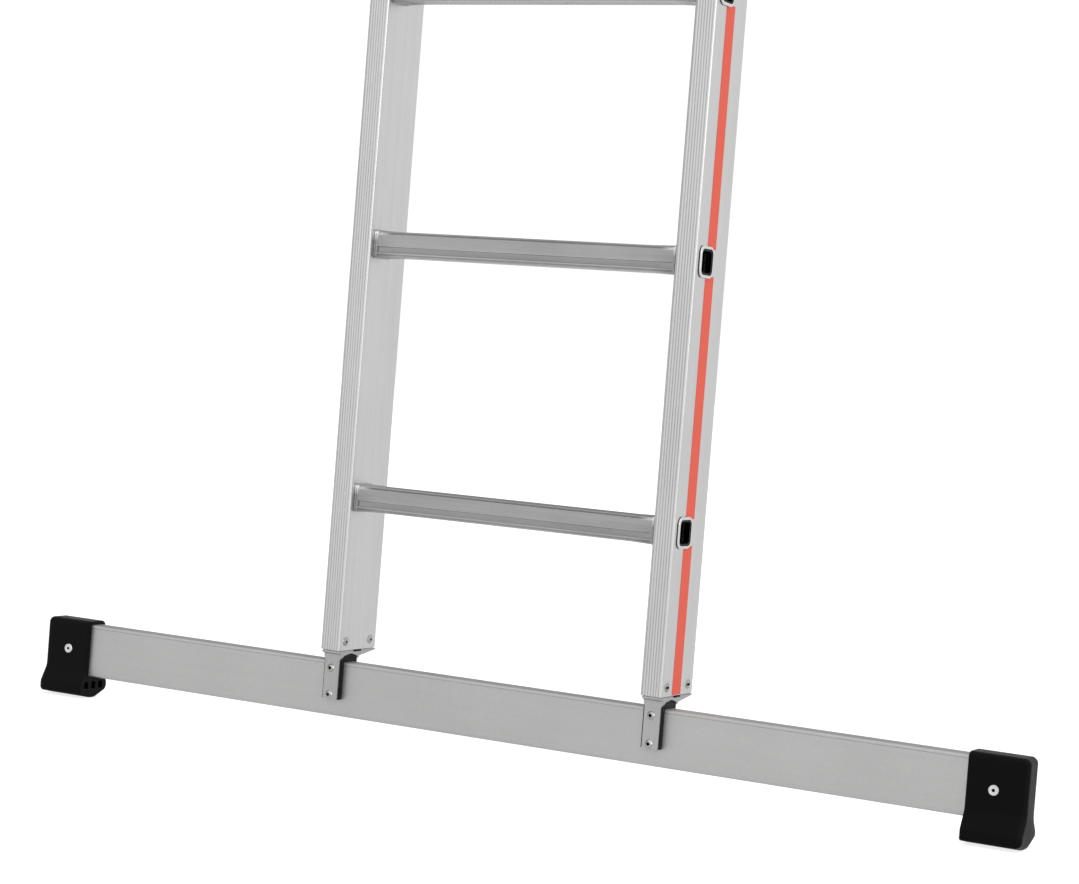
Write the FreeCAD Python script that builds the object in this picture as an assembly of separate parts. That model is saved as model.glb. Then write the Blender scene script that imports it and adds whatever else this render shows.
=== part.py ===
import FreeCAD, Part
import math
import os

from FreeCAD import Vector

# A two-section push-up extension ladder with a stabiliser bar at its foot.
# Frame: +Z runs up the stiles, +X along the rungs to the right of a person who climbs,
# and +Y from the climbing side to the wall. The origin is on the floor midway between
# the feet, in the plane of the base section's front faces. All sizes are in mm.

# Driving dimensions
RUNG_PITCH = 280.0
RUNG_COUNT = 7              # rungs in each section
FIRST_RUNG_Z = 269.0        # lowest rung of the base section
HOOKED_RUNG = 4             # base rung that the fly section's hooks stand at

BASE_WIDTH = 420.0          # over the stiles
BASE_DEPTH = 76.0           # of a stile, front to back
BASE_BOTTOM_Z = 99.3
BASE_ABOVE_LAST_RUNG = 130.0
FLY_WIDTH = 410.0
FLY_DEPTH = 60.0
FLY_BELOW_FIRST_RUNG = 100.0
FLY_ABOVE_LAST_RUNG = 110.0
SECTION_GAP = 3.0           # between the base's front faces and the fly's back faces

STILE_WIDTH = 25.0
STILE_WALL = 1.6
STILE_CORNER = 3.5
GROOVE_COUNT = 7            # grip grooves in a stile's front and back faces
GROOVE_PITCH = 3.1
GROOVE_WIDTH = 1.5
GROOVE_DEPTH = 0.95

RUNG_DEPTH = 28.0
RUNG_HEIGHT = 28.2
RUNG_CORNER = 2.8
RUNG_WALL = 1.5
BASE_RUNG_Y = 22.5          # centre of a rung, behind its section's front face
FLY_RUNG_Y = 22.5
RUNG_INNER_CORNER = 5.0
RUNG_LINE = 0.5             # depth of the fine lines along a tread
RUNG_GROOVE_DEPTH = 0.8     # of the groove beside each edge of a rung's front and back
RUNG_HOLLOW_DEPTH = 0.8     # of the hollow along a rung's front and back
RIM_DEPTH = 31.5            # the rolled rim outside a stile
RIM_HEIGHT = 33.2
RIM_CORNER = 8.0
RIM_PROUD = 2.2
RIM_GAP = 0.5               # between the rim's edge and the stile
RIM_OPENING_DEPTH = 26.5
RIM_OPENING_HEIGHT = 27.2
RIM_OPENING_CORNER = 5.5
BEAD_GROWTH = 1.5           # how far the bead inside a stile stands out from the rung
BEAD_WIDTH = 4.8
FLARE_LENGTH = 26.0
FLARE_GROWTH = 0.7
PLUG_LENGTH = 14.0
PLUG_RECESS = 0.8
PLUG_WALL = 1.3
PLUG_HEAD = 1.0             # thickness of the head in the rim's opening
PLUG_CUP = 8.0              # depth of the hollow in a plug's face

STRIPE_FRONT_Y = 25.0       # behind the section's front face
STRIPE_WIDTH = 20.0
STRIPE_THICKNESS = 0.25
STRIPE_END = 14.0           # how near a stripe comes to the middle of a rung

BAR_BOTTOM_Z = 25.3         # the stabiliser bar
BAR_HEIGHT = 60.5
BAR_DEPTH = 21.0
BAR_FRONT_Y = 14.5
BAR_HALF_LENGTH = 594.0
BAR_WALL = 2.0
BAR_LIP = 3.2               # border above and below the bar's slightly sunk faces
BAR_SUNK = 0.35
BAR_LINE_WIDTH = 1.2        # of the groove along the upper border

FOOT_INNER_X = 538.5
FOOT_OUTER_X = 600.5
FOOT_SCREW_X = 566.5
FOOT_FRONT_Y = 9.2
FOOT_BACK_Y = 40.8
FOOT_TOP_Z = 90.0
FOOT_SPREAD = 9.2           # how far the sole stands out in front and behind
FOOT_EDGE = 7.0             # radius round the outer end

TAB_WIDTH = 18.4            # the bracket's front and back tabs
TAB_SHIFT = 1.0             # of the tabs from a stile's middle, towards +X
ARCH_INSET = 2.4            # of the arch from a stile's -X side
TAB_THICKNESS = 2.5
TAB_FRONT_Y = 5.7
TAB_BOTTOM_Z = 44.8
BOLT_HEIGHTS = (79.0, 49.5)
STILE_SCREW_YS = (12.0, 62.0)
STILE_SCREW_Z = 109.0
STILE_JOINT = 1.0           # between a stile's end and its bracket
SCREW_SEAT = (4.7, 5.4)     # radii of the ring pressed round a screw
SADDLE_OVERHANG = (2.2, 0.8) # the saddle's width beyond a tab, towards -X and +X
SADDLE_CROWN_Z = 95.5
SADDLE_BACK_Y = 40.0

GUIDE_THICKNESS = 3.0
BASE_GUIDE_Z = (1990.0, 2050.0)
FLY_GUIDE_HEIGHT = 50.0
FLY_GUIDE_LIFT = 8.0        # above the fly stiles' lower ends
LIP_REACH = 22.0            # how far a guide's lip reaches over a stile

HOOK_PIVOT_Y = -15.0
HOOK_PIVOT_RISE = 25.0      # above the rung that the hook stands on
HOOK_INNER_X = 166.0
HOOK_OUTER_X = 174.0
HOOK_ARM_HEIGHT = 16.0
HOOK_LIP = 7.5
HOOK_LIP_DROP = 12.0
HOOK_REST_GAP = 1.0         # between the swung-down hook and the rung under it
PIN_RADIUS = 4.0
RUNNING_GAP = 0.05

FIT_GAP = 0.1               # between pieces that are pressed or screwed together

# Worked out from the driving dimensions
half_base = BASE_WIDTH / 2
half_fly = FLY_WIDTH / 2
base_rung_heights = [FIRST_RUNG_Z + RUNG_PITCH * i for i in range(RUNG_COUNT)]
base_top_z = base_rung_heights[-1] + BASE_ABOVE_LAST_RUNG
hooked_rung_z = base_rung_heights[HOOKED_RUNG - 1]
fly_rung_heights = [hooked_rung_z + RUNG_PITCH * i for i in range(RUNG_COUNT)]
fly_bottom_z = fly_rung_heights[0] - FLY_BELOW_FIRST_RUNG
fly_top_z = fly_rung_heights[-1] + FLY_ABOVE_LAST_RUNG
fly_front_y = -SECTION_GAP - FLY_DEPTH
fly_back_y = -SECTION_GAP
bar_top_z = BAR_BOTTOM_Z + BAR_HEIGHT
bar_back_y = BAR_FRONT_Y + BAR_DEPTH
tab_x = half_base - STILE_WIDTH / 2


# Ways to draw
def along_x(start):
    """Maps a drawing's (u, v) to (Y, Z) at x = start."""
    return lambda u, v: Vector(start, u, v)


def along_y(start):
    """Maps a drawing's (u, v) to (X, Z) at y = start."""
    return lambda u, v: Vector(u, start, v)


def along_z(start):
    """Maps a drawing's (u, v) to (X, Y) at z = start."""
    return lambda u, v: Vector(u, v, start)


def outline(corners, place):
    """A closed wire through (u, v, radius) corners, each rounded by its radius."""
    arcs = []
    for i, (u, v, radius) in enumerate(corners):
        here = Vector(u, v, 0)
        to_last = (Vector(*corners[i - 1][:2], 0) - here).normalize()
        to_next = (Vector(*corners[(i + 1) % len(corners)][:2], 0) - here).normalize()
        half_angle = to_last.getAngle(to_next) / 2
        reach = radius / math.tan(half_angle)
        middle = (to_last + to_next).normalize() * (radius / math.sin(half_angle) - radius)
        arcs.append((here + to_last * reach, here + middle, here + to_next * reach, radius))
    edges = []
    for i, (start, middle, end, radius) in enumerate(arcs):
        if radius > 0:
            points = [place(p.x, p.y) for p in (start, middle, end)]
            edges.append(Part.Arc(*points).toShape())
        following = arcs[(i + 1) % len(arcs)][0]
        if (following - end).Length > 1e-6:
            edges.append(Part.LineSegment(place(end.x, end.y),
                                          place(following.x, following.y)).toShape())
    return Part.Wire(edges)


def rectangle(u, v, width, height, radius, place):
    """A rounded rectangle centred on (u, v)."""
    a, b = width / 2, height / 2
    corners = [(u - a, v - b), (u + a, v - b), (u + a, v + b), (u - a, v + b)]
    return outline([(x, y, radius) for x, y in corners], place)


def extrude_x(corners, start, end):
    return Part.Face(outline(corners, along_x(start))).extrude(Vector(end - start, 0, 0))


def extrude_z(corners, start, end):
    return Part.Face(outline(corners, along_z(start))).extrude(Vector(0, 0, end - start))


def block_x(y, z, depth, height, radius, start, end):
    """A rounded bar along X, centred on (y, z)."""
    face = Part.Face(rectangle(y, z, depth, height, radius, along_x(start)))
    return face.extrude(Vector(end - start, 0, 0))


def block_z(x, y, width, depth, radius, start, end):
    """A rounded bar along Z, centred on (x, y)."""
    face = Part.Face(rectangle(x, y, width, depth, radius, along_z(start)))
    return face.extrude(Vector(0, 0, end - start))


def box(x0, x1, y0, y1, z0, z1):
    return Part.makeBox(x1 - x0, y1 - y0, z1 - z0, Vector(x0, y0, z0))


def rod(axis, start, length, radius):
    return Part.makeCylinder(radius, length, start, axis)


def dome(axis, start, radius, height):
    """A low domed head that stands on start and rises along axis."""
    sphere_radius = (radius ** 2 + height ** 2) / (2 * height)
    ball = Part.makeSphere(sphere_radius, start + axis * (height - sphere_radius))
    return ball.common(rod(axis, start, height + 1, radius))


def mirrored(shape):
    return shape.mirror(Vector(0, 0, 0), Vector(1, 0, 0))


def group(shapes):
    return Part.makeCompound(shapes)


nodes = {}


def keep(name, shape):
    nodes[name] = shape


def keep_pair(name, right):
    """Keeps a piece of the right side, and its mirror image on the left."""
    keep(name + "_right", right)
    keep(name + "_left", mirrored(right))


# Stiles, rungs, plugs and stripes, which the two sections share
def stile(half_width, front_y, depth, bottom, top, rung_y, rung_heights):
    """The right stile: a box extrusion with grooved edges, pierced by its rungs."""
    x = half_width - STILE_WIDTH / 2
    y = front_y + depth / 2
    body = block_z(x, y, STILE_WIDTH, depth, STILE_CORNER, bottom, top)
    first_groove = x - GROOVE_PITCH * (GROOVE_COUNT - 1) / 2
    cuts = [block_z(x, y, STILE_WIDTH - 2 * STILE_WALL, depth - 2 * STILE_WALL - 2 * GROOVE_DEPTH,
                    STILE_CORNER / 2, bottom, top)]
    for i in range(GROOVE_COUNT):
        groove_x = first_groove + i * GROOVE_PITCH
        for face_y, inwards in ((front_y, 1), (front_y + depth, -1)):
            cuts.append(groove(groove_x, face_y, inwards, bottom, top))
    for z in rung_heights:
        cuts.append(block_x(rung_y, z, RUNG_DEPTH + FIT_GAP, RUNG_HEIGHT + FIT_GAP, RUNG_CORNER,
                            half_width - STILE_WIDTH, half_width))
    return body.cut(cuts)


def groove(x, face_y, inwards, bottom, top):
    """A shallow groove with sloping sides, to be cut from a stile's edge face."""
    half = GROOVE_WIDTH / 2
    corners = [(x - half, face_y - inwards, 0), (x + half, face_y - inwards, 0),
               (x + half, face_y, 0), (x + half / 3, face_y + inwards * GROOVE_DEPTH, 0),
               (x - half / 3, face_y + inwards * GROOVE_DEPTH, 0), (x - half, face_y, 0)]
    return extrude_z(corners, bottom, top)


def rung(half_width, y, z):
    """A tube through both stiles, rolled over outside them and beaded inside them."""
    end = half_width + RIM_PROUD
    tube = block_x(y, z, RUNG_DEPTH, RUNG_HEIGHT, RUNG_CORNER, -end, end)
    inner_face = half_width - STILE_WIDTH
    additions = []
    for side in (-1, 1):
        additions += rung_end(y, z, side, half_width, inner_face)
    solid = tube.fuse(additions)
    hollow = block_x(y, z, RUNG_DEPTH - 2 * RUNG_WALL, RUNG_HEIGHT - 2 * RUNG_WALL,
                     RUNG_INNER_CORNER, -end - 1, end + 1)
    mouths = [block_x(y, z, RIM_OPENING_DEPTH, RIM_OPENING_HEIGHT, RIM_OPENING_CORNER,
                      side * (end - RIM_PROUD), side * (end + 1)) for side in (-1, 1)]
    clear = inner_face - BEAD_WIDTH - 0.4
    return solid.cut([hollow] + mouths + rung_lines(y, z, clear)).removeSplitter()


def rung_end(y, z, side, half_width, inner_face):
    """The rim outside a stile, two bead ridges inside it, and the flare that follows them."""
    rim = block_x(y, z, RIM_DEPTH, RIM_HEIGHT, RIM_CORNER, side * (half_width + RIM_GAP),
                  side * (half_width + RIM_PROUD))
    outer_edges = [e for e in rim.Edges
                   if all(abs(abs(v.Point.x) - half_width - RIM_PROUD) < 1e-6 for v in e.Vertexes)]
    pieces = [rim.makeFillet(1.0, outer_edges)]
    pieces.append(block_x(y, z, RUNG_DEPTH + 1.0, RUNG_HEIGHT + 1.0, RUNG_CORNER + 1.0,
                          side * half_width, side * (half_width + RIM_GAP + 0.2)))
    ridge = BEAD_WIDTH / 2
    for start in (inner_face - FIT_GAP, inner_face - ridge):
        wide = block_x(y, z, RUNG_DEPTH + 2 * BEAD_GROWTH, RUNG_HEIGHT + 2 * BEAD_GROWTH,
                       RUNG_CORNER + BEAD_GROWTH, side * start, side * (start - ridge + 0.5))
        pieces.append(wide.makeFillet(0.7, [e for e in wide.Edges if across_x(e)]))
    stations = ((inner_face - 0.5, FLARE_GROWTH), (inner_face - BEAD_WIDTH, FLARE_GROWTH),
                (inner_face - BEAD_WIDTH - FLARE_LENGTH, 0.0))
    wires = [rectangle(y, z, RUNG_DEPTH + 2 * growth, RUNG_HEIGHT + 2 * growth,
                       RUNG_CORNER + growth, along_x(side * x)) for x, growth in stations]
    pieces.append(Part.makeLoft(wires[:2], True, True))
    pieces.append(Part.makeLoft(wires[1:], True, True))
    return pieces


def across_x(edge):
    """True for an edge that lies in a plane of constant x."""
    xs = [edge.valueAt(t).x for t in (edge.FirstParameter, edge.LastParameter)]
    middle = edge.valueAt((edge.FirstParameter + edge.LastParameter) / 2).x
    return max(xs + [middle]) - min(xs + [middle]) < 1e-6


def rung_lines(y, z, clear):
    """Cutters for a rung's profile: two grooves and a hollow on both faces, and tread lines."""
    half_depth, half_height = RUNG_DEPTH / 2, RUNG_HEIGHT / 2
    groove_z = half_height - 2.3
    profiles = [(RUNG_GROOVE_DEPTH, middle, ((0.8, 0), (0.3, 1), (-0.3, 1), (-0.8, 0)))
                for middle in (groove_z, -groove_z)]
    profiles.append((RUNG_HOLLOW_DEPTH, -6.0, ((3.3, 0), (2.7, 1), (-2.7, 0.7), (-3.3, 0))))
    cutters = []
    for side in (-1, 1):
        face = y + side * half_depth
        for depth, middle, places in profiles:
            corners = [(face + side, z + middle + places[0][0], 0)]
            corners += [(face - side * depth * share, z + middle + v, 0) for v, share in places]
            corners.append((face + side, z + middle + places[-1][0], 0))
            cutters.append(extrude_x(corners, -clear, clear))
        for i in range(-2, 3):
            a, b = y + i * 3.4, z + side * half_height
            cutters.append(box(-clear, clear, a - RUNG_LINE, a + RUNG_LINE,
                               b - RUNG_LINE, b + RUNG_LINE))
    return cutters


def plugs(half_width, y, heights):
    """The plastic plugs in the ends of a section's rungs: cups with a head and a low rib."""
    end = half_width + RIM_PROUD - PLUG_RECESS
    depth = RUNG_DEPTH - 2 * RUNG_WALL - FIT_GAP
    height = RUNG_HEIGHT - 2 * RUNG_WALL - FIT_GAP
    bottom = end - PLUG_CUP
    solids = []
    for z in heights:
        head = block_x(y, z, RIM_OPENING_DEPTH - 0.8, RIM_OPENING_HEIGHT - FIT_GAP,
                       RIM_OPENING_CORNER, end - PLUG_HEAD, end)
        plug = block_x(y, z, depth, height, RUNG_INNER_CORNER, end - PLUG_LENGTH, end)
        plug = plug.fuse(head)
        hollow = block_x(y, z, depth - 2 * PLUG_WALL, height - 2 * PLUG_WALL,
                         RUNG_INNER_CORNER - PLUG_WALL, bottom, end + 1)
        hollow = hollow.makeFillet(2.4, [e for e in hollow.Edges if across_x(e)
                                         and abs(e.Vertexes[0].Point.x - bottom) < 1e-6])
        rib = box(bottom - 1, bottom + 1.6, y - depth / 2 + 1, y + depth / 2 - 1, z - 0.6, z + 0.6)
        plug = plug.cut(hollow.cut(rib))
        solids += [plug, mirrored(plug)]
    return group(solids)


def stripe(half_width, front_y, rung_y, bottom, top, heights):
    """The coloured stripe on the right stile's outer face, cut out round the rungs' rims."""
    y0 = front_y + STRIPE_FRONT_Y
    heights = [z for z in heights if bottom < z < top]
    ends = [bottom]
    for z in heights:
        ends += [z - STRIPE_END, z + STRIPE_END]
    ends.append(top)
    rims = [block_x(rung_y, z, RIM_DEPTH + 0.6, RIM_HEIGHT + 0.6, RIM_CORNER, half_width - 1,
                    half_width + 1) for z in heights]
    return group([box(half_width, half_width + STRIPE_THICKNESS, y0, y0 + STRIPE_WIDTH,
                      low, high).cut(rims) for low, high in zip(ends[::2], ends[1::2])])


def end_cap(half_width, front_y, depth, end_z, upwards):
    """A plastic cap on a stile's end, with a spigot inside the stile."""
    x, y = half_width - STILE_WIDTH / 2, front_y + depth / 2
    low, high = sorted((end_z, end_z + upwards * 4.5))
    top = block_z(x, y, STILE_WIDTH + 0.8, depth + 0.8, STILE_CORNER + 0.4, low, high)
    far_edges = [e for e in top.Edges
                 if all(abs(v.Point.z - end_z - upwards * 4.5) < 1e-6 for v in e.Vertexes)]
    top = top.makeFillet(1.8, far_edges)
    low, high = sorted((end_z, end_z - upwards * 22.0))
    spigot = block_z(x, y, STILE_WIDTH - 2 * STILE_WALL - FIT_GAP,
                     depth - 2 * STILE_WALL - 2 * GROOVE_DEPTH - FIT_GAP, STILE_CORNER / 2, low, high)
    return top.fuse(spigot).removeSplitter()


# The foot of the ladder
def stabiliser_bar():
    """A box extrusion with slightly sunk faces, drilled for its bolts and foot screws."""
    y, z = BAR_FRONT_Y + BAR_DEPTH / 2, BAR_BOTTOM_Z + BAR_HEIGHT / 2
    end = BAR_HALF_LENGTH
    bar = block_x(y, z, BAR_DEPTH, BAR_HEIGHT, 2.2, -end, end)
    cuts = [block_x(y, z, BAR_DEPTH - 2 * BAR_WALL, BAR_HEIGHT - 2 * BAR_WALL, 1.0, -end, end)]
    for face_y in (BAR_FRONT_Y, bar_back_y):
        cuts.append(box(-end, end, face_y - BAR_SUNK, face_y + BAR_SUNK,
                        BAR_BOTTOM_Z + BAR_LIP, bar_top_z - BAR_LIP))
        inwards = 1 if face_y == BAR_FRONT_Y else -1
        line_z = bar_top_z - BAR_LIP
        corners = [(face_y - inwards, line_z, 0),
                   (face_y + inwards * (BAR_SUNK + 0.5), line_z - 0.2, 0),
                   (face_y + inwards * BAR_SUNK, line_z - BAR_LINE_WIDTH, 0),
                   (face_y - inwards, line_z - BAR_LINE_WIDTH, 0)]
        cuts.append(extrude_x(corners, -end, end))
    for x in (-tab_x, tab_x):
        cuts += [rod(Vector(0, 1, 0), Vector(x, 0, height), 60, 3.1) for height in BOLT_HEIGHTS]
    for x in (-FOOT_SCREW_X, FOOT_SCREW_X):
        cuts.append(rod(Vector(0, 1, 0), Vector(x, 0, z), 60, 2.6))
    return bar.cut(cuts)


def foot():
    """The right foot: a boot-shaped plastic moulding with a pocket for the bar."""
    front, back, spread = FOOT_FRONT_Y, FOOT_BACK_Y, FOOT_SPREAD
    heel, toe = back + spread, front - spread
    corners = [(front, FOOT_TOP_Z, 6), (back, FOOT_TOP_Z, 6), (back, 31, 14), (heel, 18, 10),
               (heel, 9, 7), (29, 0, 12), (20, 0, 12), (toe, 4.0, 3), (toe, 15.5, 8),
               (front, 33, 12)]
    body = extrude_x(corners, FOOT_INNER_X, FOOT_OUTER_X)
    outer = [e for e in body.Edges
             if across_x(e) and abs(e.valueAt(e.FirstParameter).x - FOOT_OUTER_X) < 1e-6]
    body = body.makeFillet(FOOT_EDGE, outer)
    inner = [e for e in body.Edges
             if across_x(e) and abs(e.valueAt(e.FirstParameter).x - FOOT_INNER_X) < 1e-6]
    body = body.makeFillet(1.5, inner)
    pocket = box(FOOT_INNER_X - 1, BAR_HALF_LENGTH + FIT_GAP, BAR_FRONT_Y - FIT_GAP,
                 bar_back_y + FIT_GAP, BAR_BOTTOM_Z - FIT_GAP, bar_top_z + FIT_GAP)
    cuts = [pocket, rod(Vector(0, 1, 0), Vector(FOOT_SCREW_X, -10, BAR_BOTTOM_Z + BAR_HEIGHT / 2),
                        70, 2.6)]
    for y in (12.0, 25.0, 38.0):
        cuts.append(block_x(y, 14.5, 7.5, 9.0, 2.5, FOOT_INNER_X - 1, FOOT_INNER_X + 32))
    return body.cut(cuts)


def foot_screws():
    """A flat round head in front of and behind each foot, with its shank."""
    z = BAR_BOTTOM_Z + BAR_HEIGHT / 2
    solids = []
    for x in (-FOOT_SCREW_X, FOOT_SCREW_X):
        for face_y, inwards in ((FOOT_FRONT_Y, 1), (FOOT_BACK_Y, -1)):
            axis = Vector(0, -inwards, 0)
            start = Vector(x, face_y, z)
            head = Part.makeCone(5.4, 5.0, 0.6, start, axis)
            socket = rod(axis, start - axis * 2, 4, 1.7)
            solids.append(head.fuse(rod(-axis, start, 9.0, 2.5)).cut(socket))
    return group(solids)


def bracket():
    """The right bracket: a spigot in the stile, an arch over the bar and two tabs beside it.

    The left one is the same part, moved and not mirrored."""
    half = STILE_WIDTH / 2 - 0.3
    top = BASE_BOTTOM_Z - STILE_JOINT
    back_tab_y = SADDLE_BACK_Y + TAB_THICKNESS
    arch = [(0.6, top, 0), (BASE_DEPTH - 0.6, top, 0), (BASE_DEPTH - 0.6, top - 1.5, 0.6),
            (back_tab_y, 91.8, 2), (back_tab_y, 91.0, 0), (TAB_FRONT_Y, 91.0, 0),
            (TAB_FRONT_Y, 94.9, 2.5), (0.6, top - 2.0, 0.5)]
    arch_left = tab_x - half + ARCH_INSET
    body = extrude_x(arch, arch_left, tab_x + half)
    left, right = tab_x + TAB_SHIFT - TAB_WIDTH / 2, tab_x + TAB_SHIFT + TAB_WIDTH / 2
    tab = [(left, TAB_BOTTOM_Z, 1), (right, TAB_BOTTOM_Z, 1), (right, 88.0, 5),
           (tab_x + half, 91.6, 0), (tab_x + half, 94, 0), (arch_left, 94, 0),
           (arch_left, 91.6, 0), (left, 88.0, 3)]
    tabs = Part.Face(outline(tab, along_y(TAB_FRONT_Y)))
    tabs = tabs.extrude(Vector(0, back_tab_y - TAB_FRONT_Y, 0))
    spigot = block_z(tab_x, BASE_DEPTH / 2, STILE_WIDTH - 2 * STILE_WALL - FIT_GAP,
                     BASE_DEPTH - 2 * STILE_WALL - 2 * GROOVE_DEPTH - FIT_GAP, STILE_CORNER / 2,
                     top - 1, top + 24)
    lightening = block_z(tab_x, BASE_DEPTH / 2, STILE_WIDTH - 12, BASE_DEPTH - 14, 3,
                         top + 1, top + 30)
    hollow = extrude_x(saddle_outline(0), tab_x - STILE_WIDTH, tab_x + STILE_WIDTH)
    slot = box(tab_x - STILE_WIDTH, tab_x + STILE_WIDTH, 30.5, 46.5, top - 1.5,
               BASE_BOTTOM_Z)
    cuts = [hollow, slot, lightening]
    cuts += [rod(Vector(0, 1, 0), Vector(tab_x, 0, z), 60, 3.1) for z in BOLT_HEIGHTS]
    cuts += [rod(Vector(1, 0, 0), Vector(tab_x - 20, y, STILE_SCREW_Z), 40, 2.1)
             for y in STILE_SCREW_YS]
    return body.fuse([tabs, spigot]).cut(cuts).removeSplitter()


def saddle_outline(gap):
    """The saddle's outer side view, with its open bottom at the tabs' lower ends."""
    front = TAB_FRONT_Y + TAB_THICKNESS + gap
    back = SADDLE_BACK_Y - gap
    return [(front, TAB_BOTTOM_Z - 1, 0), (front, SADDLE_CROWN_Z - 3.0 - gap, 7),
            (front + 18, SADDLE_CROWN_Z - gap, 18), (back, SADDLE_CROWN_Z - 3.6 - gap, 5),
            (back, TAB_BOTTOM_Z - 1, 0)]


def saddle(x):
    """The plastic saddle between a bracket and the bar. The same moulding serves both sides."""
    start = x + TAB_SHIFT - TAB_WIDTH / 2 - SADDLE_OVERHANG[0]
    end = x + TAB_SHIFT + TAB_WIDTH / 2 + SADDLE_OVERHANG[1]
    body = extrude_x(saddle_outline(FIT_GAP), start, end)
    seat = box(start, end, BAR_FRONT_Y - FIT_GAP, bar_back_y + FIT_GAP, TAB_BOTTOM_Z - 2,
               bar_top_z + FIT_GAP)
    cuts = [seat, box(start, end, 0, 60, TAB_BOTTOM_Z - 2, TAB_BOTTOM_Z - 0.4)]
    cuts += [rod(Vector(0, 1, 0), Vector(x, 0, z), 60, 3.1) for z in BOLT_HEIGHTS]
    return body.cut(cuts)


def bracket_bolts():
    solids = []
    for x in (-tab_x, tab_x):
        for z in BOLT_HEIGHTS:
            start = Vector(x, TAB_FRONT_Y, z)
            head = dome(Vector(0, -1, 0), start, 4.5, 2.6)
            socket = rod(Vector(0, -1, 0), start + Vector(0, -0.2, 0), 4, 1.8)
            shank = rod(Vector(0, 1, 0), start, SADDLE_BACK_Y + 8 - TAB_FRONT_Y, 3.0)
            solids.append(head.fuse(shank).cut(socket))
    return group(solids)


def bracket_nuts():
    back = SADDLE_BACK_Y + TAB_THICKNESS
    solids = []
    for x in (-tab_x, tab_x):
        for z in BOLT_HEIGHTS:
            points = [Vector(x + 5.8 * math.cos(a), back, z + 5.8 * math.sin(a))
                      for a in (math.radians(30 + 60 * i) for i in range(6))]
            nut = Part.Face(Part.makePolygon(points + points[:1])).extrude(Vector(0, 5, 0))
            solids.append(nut.cut(rod(Vector(0, 1, 0), Vector(x, 0, z), 80, 3.0 + RUNNING_GAP)))
    return group(solids)


def head_and_shank(axis, start, head_radius, head_height, shank_radius, length):
    """A screw or rivet: its head stands on start, and its shank runs the other way."""
    return dome(axis, start, head_radius, head_height).fuse(rod(-axis, start, length, shank_radius))


def stile_screws():
    """Two screws through each side face of each base stile, into the brackets' spigots."""
    solids = []
    for outwards, face_x in ((1, half_base), (-1, half_base - STILE_WIDTH)):
        for y in STILE_SCREW_YS:
            screw = head_and_shank(Vector(outwards, 0, 0), Vector(face_x, y, STILE_SCREW_Z),
                                   4.45, 1.8, 2.0, 6.5)
            screw = screw.cut(rod(Vector(outwards, 0, 0),
                                  Vector(face_x + outwards * 0.3, y, STILE_SCREW_Z), 3, 1.5))
            solids += [screw, mirrored(screw)]
    return group(solids)


def screw_seats():
    """Cutters for the rings pressed into the right base stile's side faces round its screws."""
    inner, outer = SCREW_SEAT
    rings = []
    for outwards, face_x in ((1, half_base), (-1, half_base - STILE_WIDTH)):
        axis = Vector(outwards, 0, 0)
        for y in STILE_SCREW_YS:
            start = Vector(face_x - outwards * 0.7, y, STILE_SCREW_Z)
            rings.append(rod(axis, start, 2, outer).cut(rod(axis, start, 2, inner)))
    return rings


# The guides that hold the two sections together
def base_guide():
    """A bent strip on the right base stile's outer face, round the front of the fly stile."""
    x, t = half_base, GUIDE_THICKNESS
    lip_y = fly_front_y - 2.0
    corners = [(x, 46, 2), (x, lip_y, 1), (x - LIP_REACH, lip_y, 0.8), (x - LIP_REACH, lip_y - t, 0.8),
               (x + t, lip_y - t, 1 + t), (x + t, 46, 2)]
    strip = extrude_z([(a, b, min(r, 1.2) if b == 46 else r) for a, b, r in corners], *BASE_GUIDE_Z)
    return strip.cut([rod(Vector(1, 0, 0), Vector(x - 1, y, z), 6, 2.6)
                      for y, z in base_guide_rivets()])


def base_guide_rivets():
    low, high = BASE_GUIDE_Z
    return [(12, low + 15), (12, high - 15), (34, low + 15), (34, high - 15)]


def base_guide_liner():
    """A plastic channel between the right base guide and the fly stile."""
    outer, inner = half_base - FIT_GAP, half_fly + RIM_PROUD + 0.4
    touch = half_fly + 0.3
    front, back = fly_front_y - 2.0 + FIT_GAP, -FIT_GAP
    reach = half_base - LIP_REACH
    fly_front, fly_back = fly_front_y - 0.3, fly_back_y + 0.3
    corners = [(outer, back, 0), (reach, back, 0), (reach, fly_back, 0), (touch, fly_back, 0),
               (touch, -14, 0), (inner, -14, 0), (inner, -58.5, 0), (touch, -58.5, 0),
               (touch, fly_front, 0), (reach, fly_front, 0), (reach, front, 0), (outer, front, 1.4)]
    low, high = BASE_GUIDE_Z
    return extrude_z(corners, low + 2, high - 2)


def fly_guide():
    """A bent strip on the right fly stile's outer face, round the back of the base stile."""
    t = GUIDE_THICKNESS
    near, far = half_fly, half_base + RIM_PROUD + 1.3
    lip_y = BASE_DEPTH + 2.0
    corners = [(near, -42, 1), (near + t, -42, 1), (near + t, -15 + t / 2, 4),
               (far + t, -6 + t / 2, 4), (far + t, lip_y + t, 4), (half_base - LIP_REACH, lip_y + t, 1),
               (half_base - LIP_REACH, lip_y, 1), (far, lip_y, 1), (far, -6 + t, 2), (near, -15 + t, 2)]
    low = fly_bottom_z + FLY_GUIDE_LIFT
    strip = extrude_z(corners, low, low + FLY_GUIDE_HEIGHT)
    return strip.cut([rod(Vector(1, 0, 0), Vector(near - 1, y, z), 6, 2.6)
                      for y, z in fly_guide_rivets()])


def fly_guide_rivets():
    middle = fly_bottom_z + FLY_GUIDE_LIFT + FLY_GUIDE_HEIGHT / 2
    return [(-34, middle - 13), (-34, middle + 13), (-22, middle - 13), (-22, middle + 13)]


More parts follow.
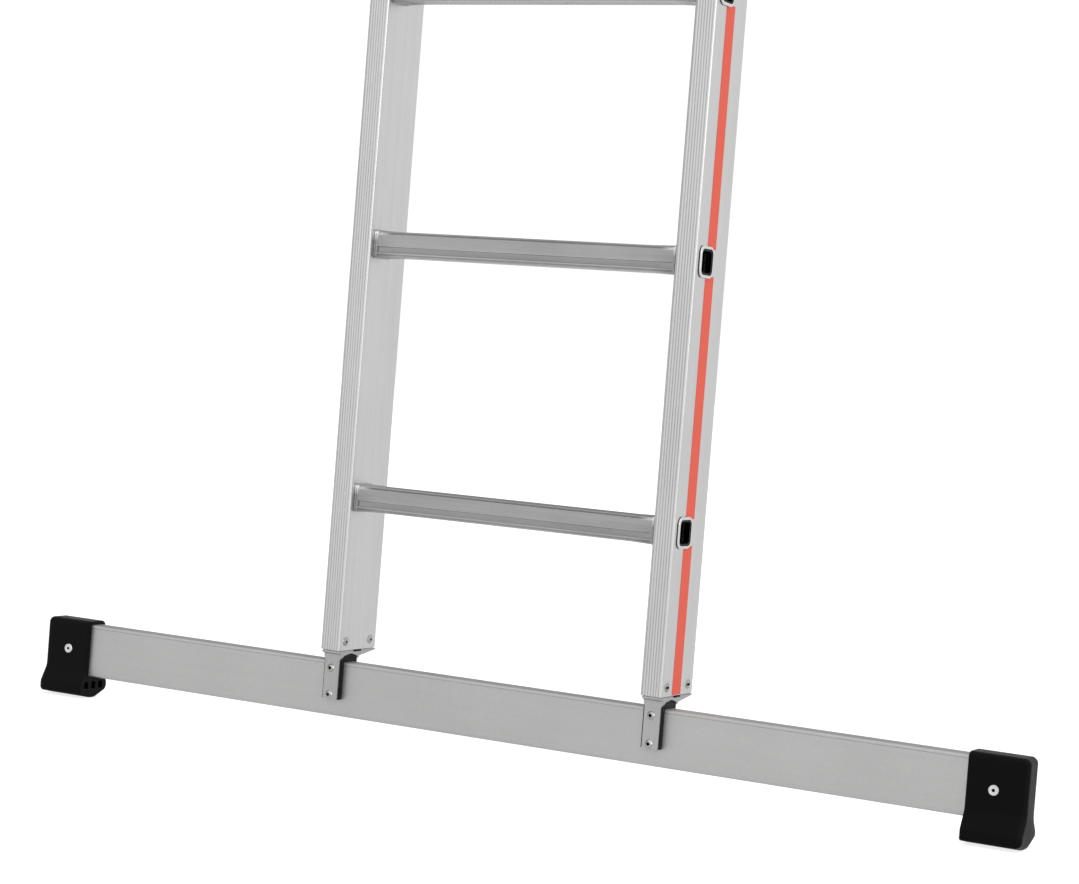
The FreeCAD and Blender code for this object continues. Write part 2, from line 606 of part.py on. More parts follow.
def fly_guide_liner():
    """A plastic angle between the right fly guide's lip and the base stile."""
    outer = half_base + RIM_PROUD + 1.3 - FIT_GAP
    back = BASE_DEPTH + 2.0 - FIT_GAP
    corners = [(outer, 62, 0), (outer, back, 1.4), (half_base - LIP_REACH, back, 0),
               (half_base - LIP_REACH, BASE_DEPTH + 0.3, 0), (half_base + 0.3, BASE_DEPTH + 0.3, 0),
               (half_base + 0.3, 62, 0)]
    low = fly_bottom_z + FLY_GUIDE_LIFT
    return extrude_z(corners, low + 2, low + FLY_GUIDE_HEIGHT - 2)


def glide_pad():
    """A plastic pad on the right fly stile's back face, which runs on the base stile."""
    x = half_fly - STILE_WIDTH / 2
    low = fly_bottom_z + FLY_GUIDE_LIFT
    pad = box(x - 9, x + 9, fly_back_y + FIT_GAP, -0.3, low, low + FLY_GUIDE_HEIGHT)
    return pad.makeFillet(1.0, [e for e in pad.Edges if abs(e.Length - 18) < 1e-6])


def rivets(x, places, grip):
    """Rivets on both sides of the ladder, with their heads at x."""
    solids = []
    for y, z in places:
        rivet = head_and_shank(Vector(1, 0, 0), Vector(x, y, z), 4.6, 1.6, 2.5, grip)
        solids += [rivet, mirrored(rivet)]
    return group(solids)


# The rung hooks, which swing down over a base rung
def hook():
    """The right hook, swung up clear of the rungs: a plate with a boss, an arm and a lip."""
    pivot_z = hooked_rung_z + HOOK_PIVOT_RISE
    drop = HOOK_PIVOT_RISE - RUNG_HEIGHT / 2 - HOOK_REST_GAP
    back = BASE_RUNG_Y + RUNG_DEPTH / 2 + 1.0 - HOOK_PIVOT_Y
    # Drawn as it stands on a rung, with the pivot at (0, 0), and then turned up
    arm_top = HOOK_ARM_HEIGHT - drop
    corners = [(-8.5, -8.5, 8.4), (14, -drop, 3), (back, -drop, 2),
               (back + 1, -drop - HOOK_LIP_DROP, 1.2),
               (back + HOOK_LIP, -drop - HOOK_LIP_DROP + 2, 3), (back + HOOK_LIP, arm_top, 8),
               (20, arm_top + 2, 12), (8.5, 8.5, 5), (-8.5, 8.5, 8.4)]
    turned = [(HOOK_PIVOT_Y - v, pivot_z + u, r) for u, v, r in corners]
    plate = extrude_x(turned, HOOK_INNER_X, HOOK_OUTER_X)
    bore = rod(Vector(1, 0, 0), Vector(HOOK_INNER_X - 1, HOOK_PIVOT_Y, pivot_z), 10,
               PIN_RADIUS + RUNNING_GAP)
    window = block_x(HOOK_PIVOT_Y - 1.5, pivot_z + 31, 6.5, 20, 3.2, HOOK_INNER_X, HOOK_OUTER_X)
    return plate.cut([bore, window])


def hook_carrier():
    """The plate on the right fly stile's inner face that carries a hook's pin."""
    pivot_z = hooked_rung_z + HOOK_PIVOT_RISE
    face = half_fly - STILE_WIDTH
    plate = block_x(-14, pivot_z + 12, 19, 56, 4, face - 3, face)
    boss = rod(Vector(-1, 0, 0), Vector(face - 3, HOOK_PIVOT_Y, pivot_z),
               face - 3 - HOOK_OUTER_X - 0.3, 7.5)
    cuts = [rod(Vector(1, 0, 0), Vector(150, HOOK_PIVOT_Y, pivot_z), 40, PIN_RADIUS)]
    cuts += [rod(Vector(1, 0, 0), Vector(150, y, z), 40, 2.5) for y, z in carrier_rivets()]
    return plate.fuse(boss).cut(cuts).removeSplitter()


def carrier_rivets():
    pivot_z = hooked_rung_z + HOOK_PIVOT_RISE
    return [(HOOK_PIVOT_Y, pivot_z - 11.5), (HOOK_PIVOT_Y - 3, pivot_z + 18),
            (HOOK_PIVOT_Y - 3, pivot_z + 32)]


def hook_pins():
    pivot_z = hooked_rung_z + HOOK_PIVOT_RISE
    face = half_fly - STILE_WIDTH
    pin = rod(Vector(-1, 0, 0), Vector(face, HOOK_PIVOT_Y, pivot_z), face - HOOK_INNER_X + 0.3,
              PIN_RADIUS)
    head = dome(Vector(-1, 0, 0), Vector(HOOK_INNER_X - 0.3, HOOK_PIVOT_Y, pivot_z), 7.0, 2.2)
    pin = pin.fuse(head)
    return group([pin, mirrored(pin)])


def carrier_rivet_set():
    face = half_fly - STILE_WIDTH - 3
    solids = []
    for y, z in carrier_rivets():
        rivet = head_and_shank(Vector(-1, 0, 0), Vector(face, y, z), 3.6, 1.2, 2.4, 3)
        solids += [rivet, mirrored(rivet)]
    return group(solids)


def build():
    base_stile = stile(half_base, 0, BASE_DEPTH, BASE_BOTTOM_Z, base_top_z, BASE_RUNG_Y,
                       base_rung_heights)
    holes = [rod(Vector(1, 0, 0), Vector(tab_x - 20, y, STILE_SCREW_Z), 40, 2.1)
             for y in STILE_SCREW_YS]
    keep_pair("base_stile", base_stile.cut(holes + screw_seats()))
    fly_rung_y = fly_front_y + FLY_RUNG_Y
    keep_pair("fly_stile", stile(half_fly, fly_front_y, FLY_DEPTH, fly_bottom_z, fly_top_z,
                                 fly_rung_y, fly_rung_heights))
    for i in range(RUNG_COUNT):
        keep(f"base_rung_{i + 1}", rung(half_base, BASE_RUNG_Y, base_rung_heights[i]))
        keep(f"fly_rung_{i + 1}", rung(half_fly, fly_rung_y, fly_rung_heights[i]))
    keep("base_rung_plugs", plugs(half_base, BASE_RUNG_Y, base_rung_heights))
    keep("fly_rung_plugs", plugs(half_fly, fly_rung_y, fly_rung_heights))
    keep_pair("base_stripe", stripe(half_base, 0, BASE_RUNG_Y, BASE_BOTTOM_Z + 0.6,
                                    BASE_GUIDE_Z[0] - 4, base_rung_heights))
    keep_pair("fly_stripe", stripe(half_fly, fly_front_y, fly_rung_y, fly_bottom_z + 66,
                                   fly_top_z - 1, fly_rung_heights))
    keep_pair("base_top_cap", end_cap(half_base, 0, BASE_DEPTH, base_top_z, 1))
    keep_pair("fly_top_cap", end_cap(half_fly, fly_front_y, FLY_DEPTH, fly_top_z, 1))
    keep_pair("fly_bottom_cap", end_cap(half_fly, fly_front_y, FLY_DEPTH, fly_bottom_z, -1))

    keep("stabiliser_bar", stabiliser_bar())
    keep_pair("stabiliser_foot", foot())
    keep("foot_screws", foot_screws())
    keep("bracket_right", bracket())
    keep("bracket_left", bracket().translated(Vector(-2 * tab_x, 0, 0)))
    keep("bracket_saddle_right", saddle(tab_x))
    keep("bracket_saddle_left", saddle(-tab_x))
    keep("bracket_bolts", bracket_bolts())
    keep("bracket_nuts", bracket_nuts())
    keep("stile_screws", stile_screws())

    keep_pair("base_guide", base_guide())
    keep_pair("base_guide_liner", base_guide_liner())
    keep("base_guide_rivets", rivets(half_base + GUIDE_THICKNESS, base_guide_rivets(), 3.0))
    keep_pair("fly_guide", fly_guide())
    keep_pair("fly_guide_liner", fly_guide_liner())
    keep_pair("fly_glide_pad", glide_pad())
    keep("fly_guide_rivets", rivets(half_fly + GUIDE_THICKNESS, fly_guide_rivets(), 3.0))

    keep_pair("rung_hook", hook())
    keep_pair("hook_carrier", hook_carrier())
    keep("hook_pins", hook_pins())
    keep("hook_carrier_rivets", carrier_rivet_set())


def export():
    os.makedirs("parts", exist_ok=True)
    for name, shape in sorted(nodes.items()):
        if not shape.isValid():
            print("not valid:", name)
        shape.exportStep(f"parts/{name}.step")
    print(len(nodes), "nodes")


build()
export()
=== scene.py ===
import math

import bmesh
import bpy
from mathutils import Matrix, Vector


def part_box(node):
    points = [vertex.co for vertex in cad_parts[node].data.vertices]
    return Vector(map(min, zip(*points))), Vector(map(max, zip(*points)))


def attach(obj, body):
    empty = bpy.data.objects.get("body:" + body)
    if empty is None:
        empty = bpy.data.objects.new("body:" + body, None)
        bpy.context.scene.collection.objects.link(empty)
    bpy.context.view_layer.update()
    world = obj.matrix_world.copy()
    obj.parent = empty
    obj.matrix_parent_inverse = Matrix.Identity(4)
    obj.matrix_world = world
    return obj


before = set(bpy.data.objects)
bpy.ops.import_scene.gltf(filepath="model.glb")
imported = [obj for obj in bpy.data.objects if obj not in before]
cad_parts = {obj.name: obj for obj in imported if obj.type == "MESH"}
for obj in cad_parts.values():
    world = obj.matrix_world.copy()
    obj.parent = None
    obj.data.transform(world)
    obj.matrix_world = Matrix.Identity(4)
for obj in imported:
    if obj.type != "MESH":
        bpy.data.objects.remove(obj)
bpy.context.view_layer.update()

# The camera, in metres and degrees
CAMERA_AT = (1.3350, -2.3747, 0.4273)
CAMERA_TURN = (88.340, -4.495, 28.644)
CAMERA_LENS = 85.52

# The surround's brightness behind the ladder and towards BRIGHT_SIDE, and its dim side
SURROUND_BACK = 0.84
SURROUND_FRONT = 0.97
SURROUND_DIM = 0.33
BRIGHT_SIDE = (-0.48, -0.87, 0.05)
DIM_SIDE = (-0.85, 0.50, 0.15)
SURROUND_SEEN = 1.05        # what the camera sees of it instead
# What the floor shines with over what it reflects: to the camera, and as a light source
FLOOR_GLOW_SEEN = 0.80
FLOOR_GLOW_LIT = 0.32
FLOOR_HALF_SIZE = 40.0

# Rungs, in metres from a rung's middle or a ladder's middle
RUNG_LEVEL = 0.418
RUNG_HALF_HEIGHT = 0.0141
BEAD_WIDTH = 0.0048         # of the bead on a rung beside its stile
RIM_FROM, RIM_FULL = 0.2040, 0.2046
RIM_ROLLED = 0.0013         # the bright part of a rung's rim; the rest of it is painted dark: a painted shade outline
# A rung's tones from its lower edge to its upper one: the edge strip, the lower groove, the
# strip above it, the hollow, the plain middle, the upper groove and the upper strip. They are
# painted light and shade: darker in the grooves and hollow as painted shade, brighter on the
# edge strips as painted highlights
RUNG_TONES = ((0.00, 1.40), (0.060, 1.25), (0.075, 0.92), (0.10, 1.10), (0.160, 1.10),
              (0.185, 0.76), (0.37, 0.81), (0.395, 1.12), (0.415, 1.12), (0.435, 1.0),
              (0.90, 1.0), (0.915, 0.68), (0.935, 0.68), (0.955, 1.06), (1.0, 1.06))
# Where each tone near a bead comes in, in metres along the rung from the bead's inner edge
BAND_FADE = (-0.022, -0.001)
SHADE_REACH = (-0.024, -0.006)
BRIGHT_EDGE_REACH = (-0.016, -0.004)
BRIGHT_BEAD_REACH = (-0.001, 0.0008)
# The heights over which each of them comes in or goes out, in metres from a rung's middle
UPPER_PART = (0.003, 0.011)
BRIGHT_EDGE_IN, BRIGHT_EDGE_OUT = (0.0095, 0.0110), (0.0120, 0.0131)
BRIGHT_BEAD_OUT = (0.0134, 0.0146)
BANDS_LEFT = 0.25           # the share of the bands that is left at a bead
BEAD_SHADE = 0.13           # how much darker the lower part gets beside a bead: painted shade
# The share and tone of the painted highlight on a bead and on the rung's edge beside it, and the
# tone of the painted shade on a rim's side
BRIGHT_SHARE = 0.8
BRIGHT_TONE, RIM_SHADE_TONE = 0.92, 0.06
RIM_TONES = (0.76, 0.82)

# Dark pieces in the slots under the base stiles: painted shade, put where the slots are in
# shadow
SLOT_SHADE_MIDDLE_Y, SLOT_SHADE_DEPTH = 0.0385, 0.0154
SLOT_SHADE_HEIGHT, SLOT_SHADE_DROP = 0.0023, 0.00125
SLOT_SHADE_INSETS = (0.0011, 0.0006)

# The radius of the hole in the heads of these nodes' screws, whose faces are painted dark as
# painted shade, and the axis that it lies on
RECESSES = {"foot_screws": (0.00172, 1), "bracket_bolts": (0.00182, 1),
            "stile_screws": (0.00152, 0)}


def set_up_camera():
    data = bpy.data.cameras.new("camera")
    data.lens = CAMERA_LENS
    data.sensor_width = 36.0
    data.clip_start, data.clip_end = 0.05, 200.0
    camera = bpy.data.objects.new("camera", data)
    camera.location = CAMERA_AT
    camera.rotation_euler = [math.radians(a) for a in CAMERA_TURN]
    bpy.context.collection.objects.link(camera)
    bpy.context.scene.camera = camera


class Shader:
    """A material's node tree, with short calls for the nodes that the looks here are made of."""

    def __init__(self, name):
        self.material = bpy.data.materials.new(name)
        self.material.use_nodes = True
        self.tree = self.material.node_tree
        self.tree.nodes.clear()
        self.out = self.add("ShaderNodeOutputMaterial")
        self.bsdf = self.add("ShaderNodeBsdfPrincipled")
        self.link(self.bsdf.outputs[0], self.out.inputs["Surface"])
        self.place = self.add("ShaderNodeTexCoord").outputs["Object"]
        self.last_bump = None

    def add(self, kind, **settings):
        node = self.tree.nodes.new(kind)
        for key, value in settings.items():
            setattr(node, key, value)
        return node

    def link(self, source, target):
        self.tree.links.new(source, target)

    def put(self, socket, value):
        """Sets a socket to a number, or links another node's output to it."""
        if isinstance(value, bpy.types.NodeSocket):
            self.link(value, socket)
        else:
            socket.default_value = value

    def set(self, **values):
        for key, value in values.items():
            self.put(self.bsdf.inputs[key.replace("_", " ")], value)

    def noise(self, scale, detail=3.0, roughness=0.5, stretch=(1, 1, 1)):
        mapping = self.add("ShaderNodeMapping")
        self.link(self.place, mapping.inputs["Vector"])
        mapping.inputs["Scale"].default_value = stretch
        node = self.add("ShaderNodeTexNoise")
        self.link(mapping.outputs[0], node.inputs["Vector"])
        node.inputs["Scale"].default_value = scale
        node.inputs["Detail"].default_value = detail
        node.inputs["Roughness"].default_value = roughness
        return node.outputs["Fac"]

    def spread(self, value, low, high, from_low=0.3, from_high=0.7):
        """Maps a value's usual range to low..high."""
        node = self.add("ShaderNodeMapRange")
        self.link(value, node.inputs["Value"])
        for key, number in (("From Min", from_low), ("From Max", from_high),
                            ("To Min", low), ("To Max", high)):
            node.inputs[key].default_value = number
        return node.outputs[0]

    def math(self, operation, a, b=0.0):
        node = self.add("ShaderNodeMath", operation=operation)
        self.put(node.inputs[0], a)
        self.put(node.inputs[1], b)
        return node.outputs[0]

    def grey(self, value, tint=(1.0, 1.0, 1.0)):
        """A colour that is a grey value times a tint."""
        node = self.add("ShaderNodeCombineColor")
        for channel, factor in zip(("Red", "Green", "Blue"), tint):
            self.put(node.inputs[channel], self.math("MULTIPLY", value, factor))
        return node.outputs[0]

    def mix(self, factor, a, b):
        node = self.add("ShaderNodeMix", data_type="RGBA")
        self.put(node.inputs["Factor"], factor)
        self.put(node.inputs["A"], a)
        self.put(node.inputs["B"], b)
        return node.outputs["Result"]

    def bump(self, height, distance, strength=1.0):
        node = self.add("ShaderNodeBump")
        node.inputs["Distance"].default_value = distance
        node.inputs["Strength"].default_value = strength
        self.link(height, node.inputs["Height"])
        if self.last_bump is not None:
            self.link(self.last_bump, node.inputs["Normal"])
        self.last_bump = node.outputs[0]
        self.link(self.last_bump, self.bsdf.inputs["Normal"])


def aluminium(name, level, along, roughness=0.36, streaks=0.05, clouds=0.05, grain=0.03):
    """Satin aluminium with die lines along one axis, soft clouds and a fine grain."""
    shader = Shader(name)
    fine = tuple(0.012 if axis == along else 1.0 for axis in "XYZ")
    lines = shader.noise(900.0, 4.0, 0.6, fine)
    broad_lines = shader.noise(140.0, 3.0, 0.5, fine)
    cloud = shader.noise(9.0, 4.0, 0.55)
    speck = shader.noise(700.0, 2.0, 0.6)
    value = shader.math("ADD", level, shader.spread(lines, -streaks, streaks))
    value = shader.math("ADD", value, shader.spread(broad_lines, -streaks / 2, streaks / 2))
    value = shader.math("ADD", value, shader.spread(cloud, -clouds, clouds))
    value = shader.math("ADD", value, shader.spread(speck, -grain, grain))
    shader.set(Base_Color=shader.grey(value, (1.0, 1.0, 0.995)), Metallic=1.0)
    rough = shader.math("ADD", roughness, shader.spread(lines, -0.05, 0.05))
    rough = shader.math("ADD", rough, shader.spread(cloud, -0.04, 0.04))
    shader.set(Roughness=rough)
    shader.bump(lines, 0.00006, 0.5)
    shader.bump(speck, 0.00004, 0.4)
    return shader.material


def rung_aluminium(section):
    """Rung metal. Its bands, shade and bright parts are painted by their place on the rung.
    They follow its grooves, hollow, beads and rims, and partly stand in for reflections."""
    shader = Shader(section + "_rung_metal")
    lines = shader.noise(900.0, 4.0, 0.6, (0.012, 1.0, 1.0))
    broad_lines = shader.noise(140.0, 3.0, 0.5, (0.02, 1.0, 1.0))
    cloud = shader.noise(14.0, 4.0, 0.6, (0.5, 1.0, 1.0))
    speck = shader.noise(700.0, 2.0, 0.6)
    value = shader.math("ADD", RUNG_LEVEL, shader.spread(lines, -0.03, 0.03))
    value = shader.math("ADD", value, shader.spread(broad_lines, -0.02, 0.02))
    value = shader.math("ADD", value, shader.spread(cloud, -0.035, 0.035))
    value = shader.math("ADD", value, shader.spread(speck, -0.02, 0.02))

    parts = shader.add("ShaderNodeSeparateXYZ")
    shader.link(shader.place, parts.inputs[0])
    across = shader.math("ABSOLUTE", parts.outputs["X"])
    first = sum(corner[2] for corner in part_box(section + "_rung_1")) / 2
    pitch = sum(corner[2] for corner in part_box(section + "_rung_2")) / 2 - first
    rise = shader.math("SUBTRACT", parts.outputs["Z"], first - pitch / 2)
    rise = shader.math("SUBTRACT", shader.math("MODULO", rise, pitch), pitch / 2)
    bands = shader.add("ShaderNodeValToRGB")
    shader.link(shader.spread(rise, 0.0, 1.0, -RUNG_HALF_HEIGHT, RUNG_HALF_HEIGHT),
                bands.inputs[0])
    elements = bands.color_ramp.elements
    elements[0].position, elements[1].position = 0.0, 1.0
    for position, _ in RUNG_TONES[1:-1]:
        elements.new(position)
    for element, (_, tone) in zip(elements, RUNG_TONES):
        element.color = (tone, tone, tone, 1.0)
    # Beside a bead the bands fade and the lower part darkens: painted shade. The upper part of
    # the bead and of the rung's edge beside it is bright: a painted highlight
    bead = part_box(section + "_stile_right")[0][0] - BEAD_WIDTH

    def near_bead(away, close, reach):
        """Goes from one number to another along a reach of the rung."""
        return shader.spread(across, away, close, bead + reach[0], bead + reach[1])

    upper = shader.spread(rise, 0.0, 1.0, *UPPER_PART)
    painted_shade = shader.math("MULTIPLY", shader.math("SUBTRACT", 1.0, upper),
                         near_bead(0.0, BEAD_SHADE, SHADE_REACH))
    value = shader.math("MULTIPLY", value, shader.math("SUBTRACT", 1.0, painted_shade))
    banded = shader.math("MULTIPLY", value, bands.outputs["Color"])
    clear = near_bead(1.0, BANDS_LEFT, BAND_FADE)
    plain = shader.mix(clear, shader.grey(value), shader.grey(banded))
    bead_highlight = shader.math("MULTIPLY", near_bead(0.0, BRIGHT_SHARE, BRIGHT_BEAD_REACH),
                          shader.spread(rise, 1.0, 0.0, *BRIGHT_BEAD_OUT))
    edge_highlight = shader.math("MULTIPLY", near_bead(0.0, BRIGHT_SHARE, BRIGHT_EDGE_REACH),
                          shader.spread(rise, 0.0, 1.0, *BRIGHT_EDGE_IN))
    edge_highlight = shader.math("MULTIPLY", edge_highlight, shader.spread(rise, 1.0, 0.0, *BRIGHT_EDGE_OUT))
    bright = shader.math("MAXIMUM", shader.math("MULTIPLY", bead_highlight, upper), edge_highlight)
    plain = shader.mix(bright, plain, (BRIGHT_TONE, BRIGHT_TONE, BRIGHT_TONE, 1.0))

    # The rim is polished metal with lower roughness. Its brighter tone partly stands in for its
    # highlight, as a painted highlight, and its side short of the bright end is painted dark as
    # a painted shade outline
    on_rim = shader.spread(across, 0.0, 1.0, RIM_FROM, RIM_FULL)
    rolled = shader.grey(shader.spread(speck, *RIM_TONES))
    rim_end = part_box(section + "_rung_1")[1][0]
    rim_shade_end = rim_end - RIM_ROLLED
    in_rim_shade = shader.spread(across, 1.0, 0.0, rim_shade_end - 0.0001, rim_shade_end)
    in_rim_shade = shader.math("MULTIPLY", in_rim_shade, on_rim)
    rim = shader.mix(in_rim_shade, rolled, (RIM_SHADE_TONE, RIM_SHADE_TONE, RIM_SHADE_TONE, 1.0))
    shader.set(Base_Color=shader.mix(on_rim, plain, rim), Metallic=1.0)
    rough = shader.math("ADD", 0.34, shader.spread(lines, -0.05, 0.05))
    shader.set(Roughness=shader.math("SUBTRACT", rough, shader.math("MULTIPLY", on_rim, 0.14)))
    shader.bump(lines, 0.00006, 0.5)
    shader.bump(speck, 0.00004, 0.4)
    return shader.material


def black_plastic(name, level, roughness, grain_scale, grain_depth, specular=0.25, sheen=0.0,
                  ior=1.45):
    """Moulded plastic or rubber: a fine grain, faint wear, and some dusty sheen."""
    shader = Shader(name)
    shader.bsdf.inputs["Sheen Weight"].default_value = sheen
    shader.bsdf.inputs["Sheen Roughness"].default_value = 0.35
    shader.bsdf.inputs["IOR"].default_value = ior
    grain = shader.noise(grain_scale, 3.0, 0.6)
    wear = shader.noise(35.0, 4.0, 0.6)
    value = shader.math("ADD", level, shader.spread(wear, -level * 0.3, level * 0.5))
    shader.set(Base_Color=shader.grey(value, (1.0, 1.0, 1.02)),
               Roughness=shader.spread(wear, roughness - 0.06, roughness + 0.08))
    shader.bsdf.inputs["Specular IOR Level"].default_value = specular
    shader.bump(grain, grain_depth, 0.8)
    return shader.material


def red_film():
    shader = Shader("red_film")
    tone = shader.noise(25.0, 3.0, 0.5)
    speck = shader.noise(900.0, 2.0, 0.6)
    colour = shader.mix(shader.spread(tone, 0.0, 1.0), (0.78, 0.098, 0.055, 1.0),
                        (0.82, 0.108, 0.062, 1.0))
    shader.set(Base_Color=colour, Roughness=shader.spread(tone, 0.42, 0.52))
    shader.bsdf.inputs["Specular IOR Level"].default_value = 0.3
    shader.bump(speck, 0.00003, 0.4)
    return shader.material


def zinc_steel(name, level, roughness):
    shader = Shader(name)
    tone = shader.noise(260.0, 4.0, 0.6)
    value = shader.spread(tone, level - 0.08, level + 0.08)
    shader.set(Base_Color=shader.grey(value, (1.0, 1.0, 0.98)), Metallic=1.0,
               Roughness=shader.spread(tone, roughness - 0.05, roughness + 0.08))
    shader.bump(tone, 0.00005, 0.5)
    return shader.material


MATERIALS = {
    "stile": aluminium("stile_metal", 0.70, "Z", 0.36, 0.03, 0.02, 0.02),
    "bar": aluminium("bar_metal", 0.56, "X", 0.50, 0.015, 0.02, 0.02),
    "base_rung": rung_aluminium("base"),
    "fly_rung": rung_aluminium("fly"),
    "sheet": aluminium("sheet_metal", 0.48, "Z", 0.40, 0.02, 0.03, 0.03),
    "rivet": zinc_steel("rivet_metal", 0.60, 0.30),
    "screw": zinc_steel("screw_metal", 0.48, 0.27),
    "bright_screw": zinc_steel("bright_screw_metal", 0.78, 0.32),
    # Near-black faces in the screw holes: painted shade in the recesses
    "recess": black_plastic("screw_recess_shade", 0.003, 0.5, 700.0, 0.00002, 0.05),
    "moulding": black_plastic("moulding", 0.004, 0.40, 1500.0, 0.00006, 0.12, 0.02),
    "plug": black_plastic("plug_plastic", 0.0010, 0.12, 700.0, 0.00001, 0.50, ior=1.20),
    "foot": black_plastic("foot_rubber", 0.0006, 0.46, 1300.0, 0.00010, 0.11, 0.13),
    "red": red_film(),
}


def look_of(node):
    if node == "foot_screws":
        return "bright_screw"
    if "stripe" in node:
        return "red"
    if "plugs" in node:
        return "plug"
    if "stile" in node and "screws" not in node:
        return "stile"
    if node.startswith(("base_rung", "fly_rung")):
        return node[:-2]
    if node == "stabiliser_bar":
        return "bar"
    if "foot" in node and "screws" not in node:
        return "foot"
    if "saddle" in node or "liner" in node or "cap" in node or "pad" in node:
        return "moulding"
    if "rivets" in node:
        return "rivet"
    if "screws" in node or "bolts" in node or "nuts" in node or "pins" in node:
        return "screw"
    return "sheet"


def paint_recess_shade(obj, radius, axis):
    """Paints the faces in the holes of a node's screw heads near-black: painted shade in the
    recesses.
    """
    obj.data.materials.append(MATERIALS["recess"])
    sheet = bmesh.new()
    sheet.from_mesh(obj.data)
    sheet.faces.ensure_lookup_table()
    left = set(range(len(sheet.faces)))
    while left:
        island, edge = set(), [left.pop()]
        while edge:
            face = edge.pop()
            island.add(face)
            for line in sheet.faces[face].edges:
                for other in line.link_faces:
                    if other.index in left:
                        left.remove(other.index)
                        edge.append(other.index)
        points = [v.co for face in island for v in sheet.faces[face].verts]
        middle = [(min(p[i] for p in points) + max(p[i] for p in points)) / 2 for i in range(3)]
        for face in island:
            centre = sheet.faces[face].calc_center_median()
            away = [centre[i] - middle[i] for i in range(3) if i != axis]
            if math.hypot(*away) < radius:
                obj.data.polygons[face].material_index = 1
    sheet.free()


def slot_shade_pieces():
    """Black pieces that show in the slots between the base stiles and their brackets: painted
    shade, put where the slots are in shadow.
    """
    for side in ("left", "right"):
        low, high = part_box("base_stile_" + side)
        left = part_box("bracket_" + side)[0][0] + SLOT_SHADE_INSETS[0]
        right = high[0] - SLOT_SHADE_INSETS[1]
        mesh = bmesh.new()
        bmesh.ops.create_cube(mesh, size=1.0)
        size = Vector((right - left, SLOT_SHADE_DEPTH, SLOT_SHADE_HEIGHT))
        middle = Vector(((left + right) / 2, SLOT_SHADE_MIDDLE_Y, low[2] - SLOT_SHADE_DROP))
        for vertex in mesh.verts:
            vertex.co = Vector(a * b for a, b in zip(vertex.co, size)) + middle
        bmesh.ops.bevel(mesh, geom=list(mesh.edges), offset=0.0004, segments=3, affect="EDGES")
        data = bpy.data.meshes.new("bracket_slot_shade_" + side)
        mesh.to_mesh(data)
        mesh.free()
        obj = bpy.data.objects.new("bracket_slot_shade_" + side, data)
        bpy.context.collection.objects.link(obj)
        data.materials.append(MATERIALS["moulding"])
        data.shade_smooth()
        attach(obj, "base")


def dress_cad_nodes():
    for node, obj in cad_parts.items():
        material = MATERIALS[look_of(node)]
        obj.data.materials.clear()
        obj.data.materials.append(material)
        if node in RECESSES:
            paint_recess_shade(obj, *RECESSES[node])


def floor():
    """A pale floor that the camera sees whiter than it lights the ladder."""
    size = FLOOR_HALF_SIZE
    mesh = bpy.data.meshes.new("floor")
    mesh.from_pydata([(-size, -size, 0), (size, -size, 0), (size, size, 0), (-size, size, 0)],
                     [], [(0, 1, 2, 3)])
    obj = bpy.data.objects.new("floor", mesh)
    obj.location.z = -0.0005
    bpy.context.collection.objects.link(obj)
    shader = Shader("floor_white")
    tone = shader.noise(3.0, 2.0, 0.5)
    shader.set(Base_Color=shader.grey(shader.spread(tone, 0.50, 0.52)), Roughness=0.9)
    shader.bsdf.inputs["Specular IOR Level"].default_value = 0.0
    glow = shader.add("ShaderNodeEmission")
    seen = shader.add("ShaderNodeLightPath").outputs["Is Camera Ray"]
    shader.link(shader.spread(seen, FLOOR_GLOW_LIT, FLOOR_GLOW_SEEN, 0.0, 1.0),
                glow.inputs["Strength"])
    total = shader.add("ShaderNodeAddShader")
    shader.link(shader.bsdf.outputs[0], total.inputs[0])
    shader.link(glow.outputs[0], total.inputs[1])
    shader.link(total.outputs[0], shader.out.inputs["Surface"])
    obj.data.materials.append(shader.material)


def soft_sun(name, towards, strength, angle):
    """A broad, distant lamp: soft light that doesn't fall off along a tall object."""
    data = bpy.data.lights.new(name, "SUN")
    data.energy = strength
    data.angle = math.radians(angle)
    obj = bpy.data.objects.new(name, data)
    obj.rotation_euler = (-Vector(towards)).to_track_quat("-Z", "Y").to_euler()
    bpy.context.collection.objects.link(obj)


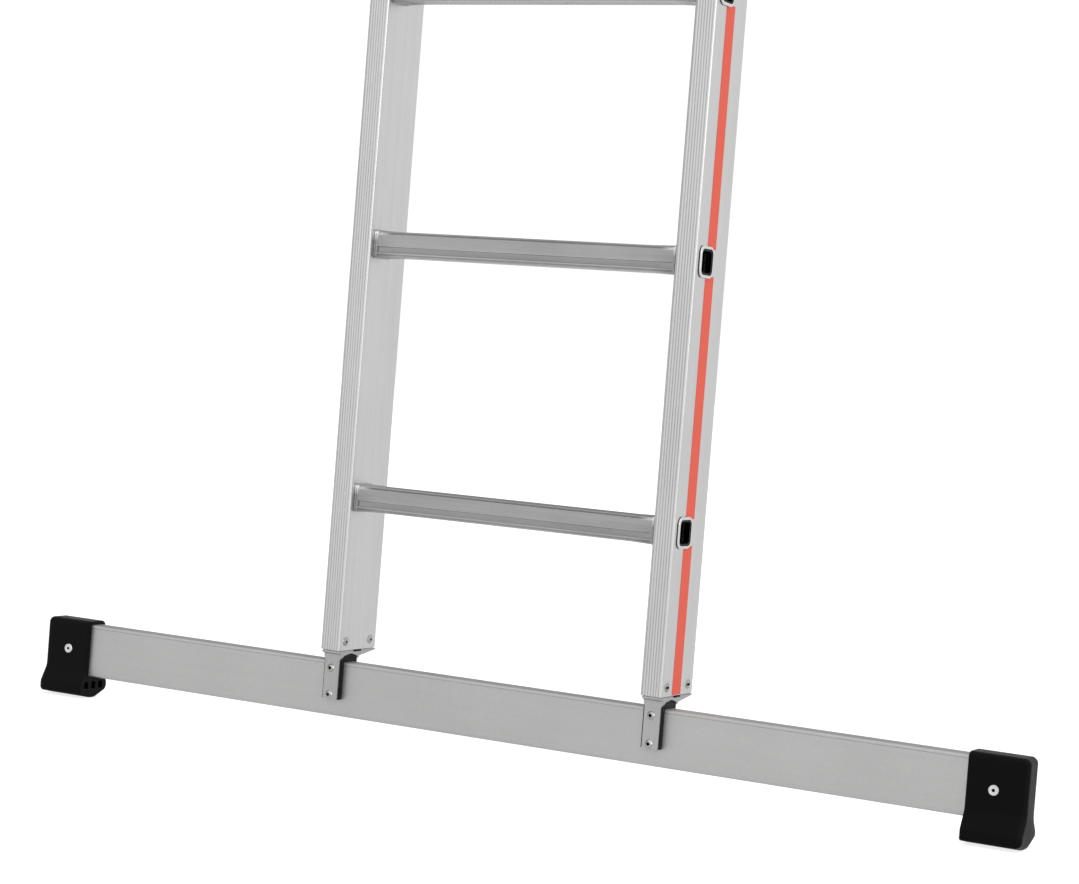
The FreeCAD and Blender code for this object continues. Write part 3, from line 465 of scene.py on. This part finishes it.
def studio():
    """White all round to the camera, and a softly graded surround for light and reflections."""
    world = bpy.data.worlds.new("studio")
    bpy.context.scene.world = world
    world.use_nodes = True
    tree = world.node_tree
    tree.nodes.clear()
    out = tree.nodes.new("ShaderNodeOutputWorld")
    mix = tree.nodes.new("ShaderNodeMixShader")
    path = tree.nodes.new("ShaderNodeLightPath")
    surround = tree.nodes.new("ShaderNodeBackground")
    seen = tree.nodes.new("ShaderNodeBackground")
    coords = tree.nodes.new("ShaderNodeTexCoord")

    def towards(side, from_low, from_high, low, high):
        """Goes from low to high as the direction turns towards a side."""
        lean = tree.nodes.new("ShaderNodeVectorMath")
        lean.operation = "DOT_PRODUCT"
        lean.inputs[1].default_value = side
        tree.links.new(coords.outputs["Generated"], lean.inputs[0])
        ramp = tree.nodes.new("ShaderNodeMapRange")
        ramp.interpolation_type = "SMOOTHSTEP"
        tree.links.new(lean.outputs["Value"], ramp.inputs["Value"])
        for key, number in (("From Min", from_low), ("From Max", from_high),
                            ("To Min", low), ("To Max", high)):
            ramp.inputs[key].default_value = number
        return ramp.outputs[0]

    product = tree.nodes.new("ShaderNodeMath")
    product.operation = "MULTIPLY"
    tree.links.new(towards(BRIGHT_SIDE, -1.0, 1.0, SURROUND_BACK, SURROUND_FRONT),
                   product.inputs[0])
    tree.links.new(towards(DIM_SIDE, 0.30, 0.78, 1.0, SURROUND_DIM / SURROUND_BACK),
                   product.inputs[1])
    tree.links.new(product.outputs[0], surround.inputs["Strength"])
    seen.inputs["Strength"].default_value = SURROUND_SEEN
    for background in (surround, seen):
        background.inputs["Color"].default_value = (1, 1, 1, 1)
    tree.links.new(path.outputs["Is Camera Ray"], mix.inputs["Fac"])
    tree.links.new(surround.outputs[0], mix.inputs[1])
    tree.links.new(seen.outputs[0], mix.inputs[2])
    tree.links.new(mix.outputs[0], out.inputs["Surface"])
    soft_sun("key", (0.30, -0.25, 0.95), 0.35, 50)
    soft_sun("edge", (0.88, -0.47, 0.29), 0.41, 24)
    bpy.context.scene.view_settings.view_transform = "Standard"


set_up_camera()
studio()
dress_cad_nodes()
slot_shade_pieces()
floor()
